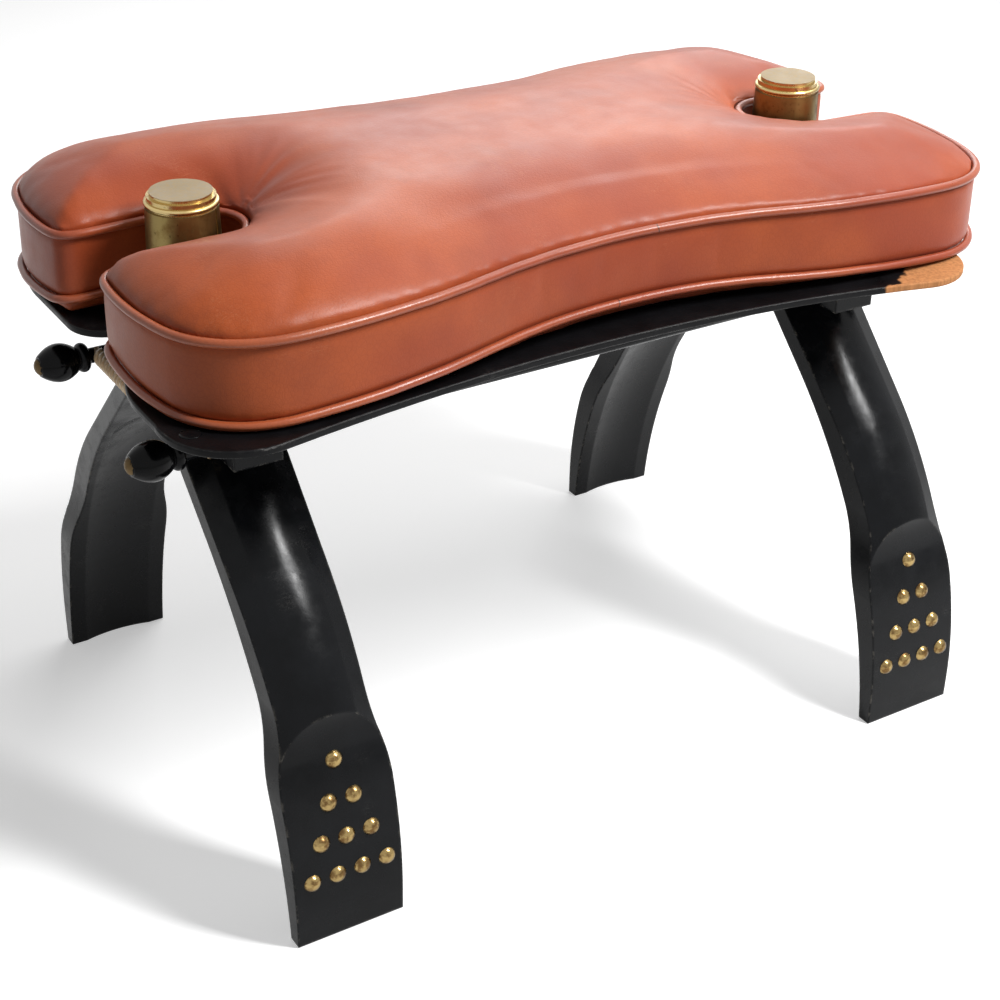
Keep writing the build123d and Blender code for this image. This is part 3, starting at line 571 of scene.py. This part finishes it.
def pumpUp(piece):
    # seams and underside are held, everything between them fills out
    shape = cushionShape
    mesh = piece.data
    held = piece.vertex_groups.new(name="held")
    for vertex in mesh.vertices:
        z = vertex.co.z
        onSide = abs(vertex.normal.z) < 0.75
        seam = min(abs(z - shape["seamTop"]), abs(z - shape["seamBottom"]))
        if z < shape["rest"] + 0.004 and not onSide:
            held.add([vertex.index], 1.0, "REPLACE")
        elif onSide and seam < shape["voxel"] * 0.55:
            held.add([vertex.index], 1.0, "REPLACE")
    start = [vertex.co.copy() for vertex in mesh.vertices]
    cloth = piece.modifiers.new("filling", "CLOTH")
    cloth.settings.use_pressure = True
    cloth.settings.uniform_pressure_force = shape["pressure"]
    cloth.settings.effector_weights.gravity = 0
    cloth.settings.vertex_group_mass = "held"
    cloth.settings.quality = shape["quality"]
    cloth.settings.tension_stiffness = shape["stretch"]
    cloth.settings.compression_stiffness = shape["stretch"]
    cloth.settings.shear_stiffness = shape["shear"]
    cloth.settings.bending_stiffness = shape["bend"]
    cloth.collision_settings.use_collision = False
    for step in range(1, shape["frames"] + 1):
        scene.frame_set(step)
    filled = piece.evaluated_get(bpy.context.evaluated_depsgraph_get()).data
    moved = [vertex.co.copy() for vertex in filled.vertices]
    piece.modifiers.remove(cloth)
    for vertex, before, after in zip(mesh.vertices, start, moved):
        step = after - before
        if step.length > shape["mostMove"]:
            step *= shape["mostMove"] / step.length
        vertex.co = before + step
    scene.frame_set(1)
    piece.vertex_groups.remove(held)


def seamLine(mesh, height):
    # the level line round the filling, as one closed run of points
    bm = bmesh.new()
    bm.from_mesh(mesh)
    cut = bmesh.ops.bisect_plane(bm, geom=bm.verts[:] + bm.edges[:] + bm.faces[:], dist=0.00001,
                                 plane_co=(0, 0, height), plane_no=(0, 0, 1))["geom_cut"]
    edges = {edge for edge in cut if isinstance(edge, bmesh.types.BMEdge)}
    verts = {vert for vert in cut if isinstance(vert, bmesh.types.BMVert)}
    first = max(verts, key=lambda vert: vert.co.y)
    run, seen, here = [first.co.copy()], {first}, first
    while True:
        onward = [edge.other_vert(here) for edge in here.link_edges if edge in edges]
        onward = [vert for vert in onward if vert not in seen]
        if not onward:
            break
        here = onward[0]
        seen.add(here)
        run.append(here.co.copy())
    bm.free()
    return run


def evenly(run, spacing):
    # points at even steps along a closed run
    lengths = [0.0]
    closed = run + [run[0]]
    for before, after in zip(closed, closed[1:]):
        lengths.append(lengths[-1] + (after - before).length)
    count = round(lengths[-1] / spacing)
    points, index = [], 0
    for step in range(count):
        goal = lengths[-1] * step / count
        while lengths[index + 1] < goal:
            index += 1
        share = (goal - lengths[index]) / max(lengths[index + 1] - lengths[index], 1e-9)
        points.append(closed[index].lerp(closed[index + 1], share))
    return points


def relaxed(points, rounds):
    for _ in range(rounds):
        points = [(points[i - 1] + points[i] * 2 + points[(i + 1) % len(points)]) / 4
                  for i in range(len(points))]
    return points


def pushedOut(points, reach):
    area = sum(a.x * b.y - b.x * a.y for a, b in zip(points, points[1:] + points[:1]))
    turn = 1 if area > 0 else -1
    out = []
    for i, point in enumerate(points):
        along = (points[(i + 1) % len(points)] - points[i - 1]).normalized()
        out.append(point + Vector((along.y, -along.x, 0)) * reach * turn)
    return out


def pipe(name, points, radius, material):
    curve = bpy.data.curves.new(name, "CURVE")
    curve.dimensions = "3D"
    curve.bevel_depth = radius
    curve.bevel_resolution = 4
    spline = curve.splines.new("POLY")
    spline.points.add(len(points) - 1)
    for place, point in zip(spline.points, points):
        place.co = (*point, 1)
    spline.use_cyclic_u = True
    rope = bpy.data.objects.new(name + "Line", curve)
    scene.collection.objects.link(rope)
    bpy.context.view_layer.update()
    mesh = bpy.data.meshes.new_from_object(rope)
    bpy.data.objects.remove(rope)
    bm = bmesh.new()
    bm.from_mesh(mesh)
    return addMesh(name, bm, material)


def makeCushion():
    shape = cushionShape
    filling = addMesh("cushionCover", copyNode("cushion_core"), seatLeather)
    remesh = filling.modifiers.new("even", "REMESH")
    remesh.mode = "VOXEL"
    remesh.voxel_size = shape["voxel"]
    bpy.context.view_layer.update()
    even = bpy.data.meshes.new_from_object(filling.evaluated_get(bpy.context.evaluated_depsgraph_get()))
    filling.modifiers.clear()
    filling.data = even
    filling.data.materials.clear()
    filling.data.materials.append(seatLeather)
    print("cushion remeshed,", len(even.vertices), "points")
    lines = {}
    for name, height in (("topPiping", shape["seamTop"]), ("bottomPiping", shape["seamBottom"])):
        lines[name] = relaxed(evenly(seamLine(even, height), shape["pipeStep"]), shape["pipeRounds"])
    reaches = inwardReach(even, lines["topPiping"])
    levels = [vertex.co.z for vertex in even.vertices]
    pumpUp(filling)
    for vertex, inward, level in zip(even.vertices, reaches, levels):
        vertex.co = settle(vertex.co, inward, vertex.co.z - level)
    bm = bmesh.new()
    bm.from_mesh(filling.data)
    bmesh.ops.smooth_vert(bm, verts=bm.verts, factor=0.5, use_axis_x=True, use_axis_y=True, use_axis_z=True)
    bmesh.ops.subdivide_edges(bm, edges=bm.edges, cuts=1, use_grid_fill=True, smooth=0.6)
    bm.normal_update()
    for vert in bm.verts:
        vert.co -= vert.normal * tuck(vert)
        vert.co.z += folds(vert.co)
    bm.to_mesh(filling.data)
    bm.free()
    filling.data.shade_smooth()
    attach(filling, "cushion")
    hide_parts("cushion_core", "cushion_top_panel", "cushion_boxing", "cushion_bottom_panel")
    for name, line in lines.items():
        points = [settle(point) for point in pushedOut(line, shape["pipeOut"])]
        rope = pipe(name, points, shape["pipeRadius"], pipingLeather)
        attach(rope, "cushion")
        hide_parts("top_piping" if name == "topPiping" else "bottom_piping")


def tuck(vert):
    # the leather dives in beside each piping
    shape = cushionShape
    side = smoothStep(0.95, 0.6, abs(vert.normal.z))
    depth = 0.0
    for height in (topSeam(vert.co.x, vert.co.y), bottomSeam(vert.co.x, vert.co.y)):
        away = (vert.co.z - height) / shape["pinchWidth"]
        depth += shape["pinch"] * math.exp(-away * away)
    return depth * side


def folds(point):
    # soft wrinkles that fan out from the end of each notch over the crown
    shape = cushionShape
    if point.z < topSeam(point.x, point.y) + 0.004:
        return 0.0
    lift = 0.0
    for end, turn in ((-1, 0.0), (1, 2.4)):
        x, y = point.x - shape["shiftX"] - end * shape["notchTip"], point.y - shape["shiftY"]
        away = math.hypot(x, y)
        if away < shape["foldReach"]:
            bearing = math.atan2(y, -end * x)
            wave = noise.noise(Vector((bearing * 3.2 + turn, away * 9, 1.7 + end)))
            ridge = 1 - 2 * abs(wave)
            fade = smoothStep(shape["foldReach"], 0.02, away)
            lift += shape["foldDepth"] * (ridge - 0.6) * fade
    lift += 0.0006 * noise.noise(point * 22)
    return lift


makeCushion()
print("cushion made")

# cane: one flat strip wound round each end bar and each rod's neck
windings = {
    "bar": dict(inner=0.0031, outer=0.0064, width=0.0047, pitch=0.0053, turns=24, steps=20),
    "neck": dict(inner=0.0050, outer=0.0071, width=0.0026, pitch=0.0027, turns=3, steps=28),
}


def windStrip(name, look, centre, axis, node):
    # a rounded strip section beside the core, spun and moved along the core at once
    bm = bmesh.new()
    bmesh.ops.create_circle(bm, segments=12, radius=0.5)
    half = look["width"] / 2
    thick = look["outer"] - look["inner"]
    for vert in bm.verts:
        x, y = vert.co.x * 2, vert.co.y * 2
        across = math.copysign(abs(x) ** 0.6, x) * half
        up = look["inner"] + thick / 2 + math.copysign(abs(y) ** 0.7, y) * thick / 2
        vert.co = Vector((across, 0, up))
    length = look["pitch"] * look["turns"]
    bmesh.ops.translate(bm, verts=bm.verts, vec=(-length / 2, 0, 0))
    steps = look["steps"] * look["turns"]
    bmesh.ops.spin(bm, geom=bm.edges[:], cent=(0, 0, 0), axis=(1, 0, 0), dvec=(length / steps, 0, 0),
                   angle=2 * math.pi * look["turns"], steps=steps, use_duplicate=False)
    loose = [edge for edge in bm.edges if len(edge.link_faces) == 1]
    bmesh.ops.holes_fill(bm, edges=loose, sides=0)
    if axis == "Y":
        bmesh.ops.rotate(bm, verts=bm.verts, cent=(0, 0, 0), matrix=Matrix.Rotation(math.pi / 2, 3, "Z"))
    bmesh.ops.translate(bm, verts=bm.verts, vec=centre)
    piece = addMesh(name, bm, caneStrip)
    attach(piece, "stand")
    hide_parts(node)


for endName, end in (("left", -1), ("right", 1)):
    windStrip(endName + "BarCane", windings["bar"], (end * 0.2623, 0, 0.291), "Y", endName + "_bar_winding")
    for sideName, side in (("near", -1), ("far", 1)):
        windStrip(sideName + endName.capitalize() + "NeckCane", windings["neck"],
                  (end * 0.2496, side * 0.075, 0.2886), "X", f"{sideName}_{endName}_neck_winding")
print("cane wound")


# camera, floor and light
view = {
    "lens": 69.88,
    "at": (-0.6390, -1.0154, 0.8309),
    "right": (0.85205, -0.52320, 0.01657),
    "up": (0.24807, 0.43145, 0.86736),
    "ahead": (0.46096, 0.73492, -0.49741),
}
light = {
    "world": 0.14, "backdrop": 1.0, "floor": (0.80, 0.80, 0.80, 1), "floorGlow": 0.44,
    "aim": (0, 0, 0.25),
    "lamps": [
        dict(name="backLamp", at=(1.1, 1.4, 1.3), wide=1.2, tall=0.9, power=13),
        dict(name="topLamp", at=(1.2, 0.1, 1.9), wide=1.3, tall=1.3, power=14),
        dict(name="legLamp", at=(0.62, -0.95, 1.60), wide=0.2, tall=0.7, power=36),
    ],
}


def makeCamera():
    lens = bpy.data.cameras.new("camera")
    lens.lens = view["lens"]
    lens.sensor_width = 36
    lens.clip_start, lens.clip_end = 0.01, 100
    camera = bpy.data.objects.new("camera", lens)
    right, up, back = Vector(view["right"]), Vector(view["up"]), -Vector(view["ahead"])
    camera.matrix_world = Matrix.Translation(view["at"]) @ Matrix((right, up, back)).transposed().to_4x4()
    scene.collection.objects.link(camera)
    scene.camera = camera


def makeFloor():
    bm = bmesh.new()
    bmesh.ops.create_grid(bm, x_segments=2, y_segments=2, size=9)
    bmesh.ops.translate(bm, verts=bm.verts, vec=(0, 0, -0.0004))
    material = bpy.data.materials.new("paleFloor")
    material.use_nodes = True
    tree = material.node_tree
    shader = tree.nodes["Principled BSDF"]
    shader.inputs["Base Color"].default_value = light["floor"]
    shader.inputs["Roughness"].default_value = 0.8
    shader.inputs["Specular IOR Level"].default_value = 0.2
    rays = addNode(tree, "ShaderNodeLightPath")
    seen = mathNode(tree, "ADD", rays.outputs["Is Camera Ray"], rays.outputs["Is Glossy Ray"])
    seen = mathNode(tree, "ADD", seen, rays.outputs["Is Transmission Ray"], clamp=True)
    shader.inputs["Emission Color"].default_value = (1, 1, 1, 1)
    feed(tree, shader.inputs["Emission Strength"], mathNode(tree, "MULTIPLY", seen, light["floorGlow"]))
    floor = addMesh("floor", bm, material, smooth=False)


def makeLight():
    world = bpy.data.worlds.new("softRoom")
    scene.world = world
    world.use_nodes = True
    tree = world.node_tree
    backdrop = tree.nodes["Background"]
    backdrop.inputs["Color"].default_value = (1, 1, 1, 1)
    rays = addNode(tree, "ShaderNodeLightPath")
    seen = mathNode(tree, "ADD", rays.outputs["Is Camera Ray"], rays.outputs["Is Glossy Ray"])
    seen = mathNode(tree, "ADD", seen, rays.outputs["Is Transmission Ray"], clamp=True)
    extra = mathNode(tree, "MULTIPLY", seen, light["backdrop"] - light["world"])
    feed(tree, backdrop.inputs["Strength"], mathNode(tree, "ADD", extra, light["world"]))
    for lamp in light["lamps"]:
        data = bpy.data.lights.new(lamp["name"], "AREA")
        data.shape = "RECTANGLE"
        data.size = lamp["wide"]
        data.size_y = lamp["tall"]
        data.energy = lamp["power"]
        lampObject = bpy.data.objects.new(lamp["name"], data)
        lampObject.location = lamp["at"]
        aim = Vector(light["aim"]) - Vector(lamp["at"])
        lampObject.rotation_euler = aim.to_track_quat("-Z", "Y").to_euler()
        scene.collection.objects.link(lampObject)


makeCamera()
makeFloor()
makeLight()
print("camera, floor and light set")
